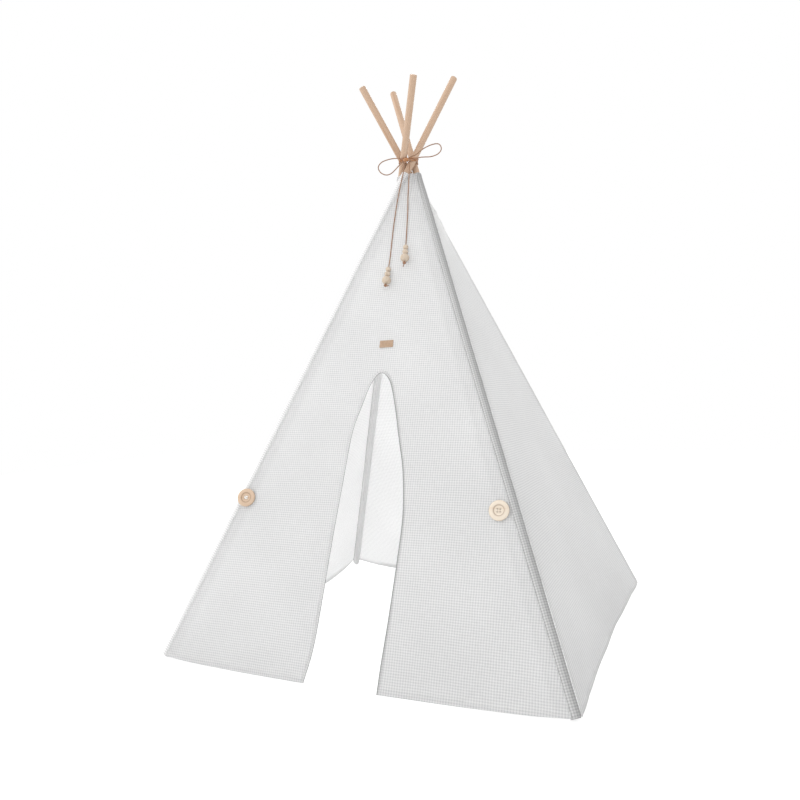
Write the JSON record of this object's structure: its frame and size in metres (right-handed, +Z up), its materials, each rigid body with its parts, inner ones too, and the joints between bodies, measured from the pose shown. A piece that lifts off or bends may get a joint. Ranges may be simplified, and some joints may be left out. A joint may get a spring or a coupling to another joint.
{
  "type": "kids teepee",
  "caption": "Square play tent on crossed wooden poles tied at the crown, with taut checked cloth walls, an arched door opening, wooden buttons and beaded tie ends.",
  "frame": {"origin": "on the floor, midway between the feet of the poles", "axes": "+Z up; -Y out of the door, the front; +X to the right when looking at the door"},
  "size_m": [1.1203, 1.1385, 1.6511],
  "materials": {
    "beech": "plain sanded dowel",
    "bead_wood": "plain turned beads",
    "button_wood": "turned, light satin",
    "gingham": "white and light grey small check cotton",
    "lining": "plain white cotton",
    "tape": "folded binding of the same check",
    "leather": "plain tan, bare",
    "cotton": "white sewing thread",
    "suede": "brown suede cord"
  },
  "bodies": {
    "crown": {"lashing": "suede", "bow_knot": "suede", "bow_loop_left": "suede", "bow_loop_right": "suede"},
    "front_left_pole": {"pole_front_left": "beech", "sleeve_front_left": "lining", "button_left": "button_wood", "thread_left": "cotton"},
    "front_right_pole": {"pole_front_right": "beech", "sleeve_front_right": "lining", "button_right": "button_wood", "thread_right": "cotton"},
    "back_right_pole": {"pole_back_right": "beech", "sleeve_back_right": "lining"},
    "back_left_pole": {"pole_back_left": "beech", "sleeve_back_left": "lining"},
    "front_panel": {"front_wall": "gingham", "door_binding": "tape", "label": "leather"},
    "right_panel": {"right_wall": "gingham"},
    "back_panel": {"back_wall": "gingham"},
    "left_panel": {"left_wall": "gingham"},
    "left_end": {"left_cord": "suede", "left_small_bead": "bead_wood", "left_middle_bead": "bead_wood", "left_large_bead": "bead_wood", "left_end_knot": "suede"},
    "right_end": {"right_cord": "suede", "right_small_bead": "bead_wood", "right_middle_bead": "bead_wood", "right_large_bead": "bead_wood", "right_end_knot": "suede"}
  },
  "joints": [
    {"name": "fold", "type": "hinge", "parent": "crown", "child": "front_left_pole", "pos_m": [0.02894, -0.09044, 1.3685], "axis": [0.6217, -0.7832, 0], "range_deg": [0, 24.47], "deforming": ["lashing"]},
    {"name": "fold_front_right", "type": "hinge", "parent": "crown", "child": "front_right_pole", "pos_m": [0.02894, -0.06356, 1.3685], "axis": [0.6824, 0.731, 0], "range_deg": [0, 23.62]},
    {"name": "fold_back_right", "type": "hinge", "parent": "crown", "child": "back_right_pole", "pos_m": [0.00206, -0.06356, 1.3685], "axis": [-0.7459, 0.6661, 0], "range_deg": [0, 27.12]},
    {"name": "fold_back_left", "type": "hinge", "parent": "crown", "child": "back_left_pole", "pos_m": [0.00206, -0.09044, 1.3685], "axis": [-0.7574, -0.6529, 0], "range_deg": [0, 27.82]},
    {"name": "gather_front_panel", "type": "hinge", "parent": "crown", "child": "front_panel", "pos_m": [0.02255, -0.11411, 1.371], "axis": [1, 0, 0], "range_deg": [0, 12.57], "deforming": ["front_wall", "door_binding"]},
    {"name": "gather_right_panel", "type": "hinge", "parent": "crown", "child": "right_panel", "pos_m": [0.0155, -0.077, 1.3685], "axis": [0, 1, 0], "range_deg": [0, 14.82], "deforming": ["right_wall"]},
    {"name": "gather_back_panel", "type": "hinge", "parent": "crown", "child": "back_panel", "pos_m": [0.0155, -0.077, 1.3685], "axis": [-1, 0, 0], "range_deg": [0, 18.12], "deforming": ["back_wall"]},
    {"name": "gather_left_panel", "type": "hinge", "parent": "crown", "child": "left_panel", "pos_m": [0.0155, -0.077, 1.3685], "axis": [0, -1, 0], "range_deg": [0, 16.02], "deforming": ["left_wall"]},
    {"name": "swing_left_end", "type": "hinge", "parent": "front_panel", "child": "left_end", "pos_m": [0.02255, -0.11411, 1.371], "axis": [-1, 0, 0], "range_deg": [0, 40]},
    {"name": "swing_right_end", "type": "hinge", "parent": "front_panel", "child": "right_end", "pos_m": [0.02255, -0.11411, 1.371], "axis": [-1, 0, 0], "range_deg": [0, 40]}
  ],
  "couplings": [
    {"joint": "fold_front_right", "follows": "fold", "ratio": 0.96484},
    {"joint": "fold_back_right", "follows": "fold", "ratio": 1.1077},
    {"joint": "fold_back_left", "follows": "fold", "ratio": 1.1363},
    {"joint": "gather_front_panel", "follows": "fold", "ratio": 0.51277},
    {"joint": "gather_right_panel", "follows": "fold", "ratio": 0.60471},
    {"joint": "gather_back_panel", "follows": "fold", "ratio": 0.73954},
    {"joint": "gather_left_panel", "follows": "fold", "ratio": 0.65374}
  ]
}
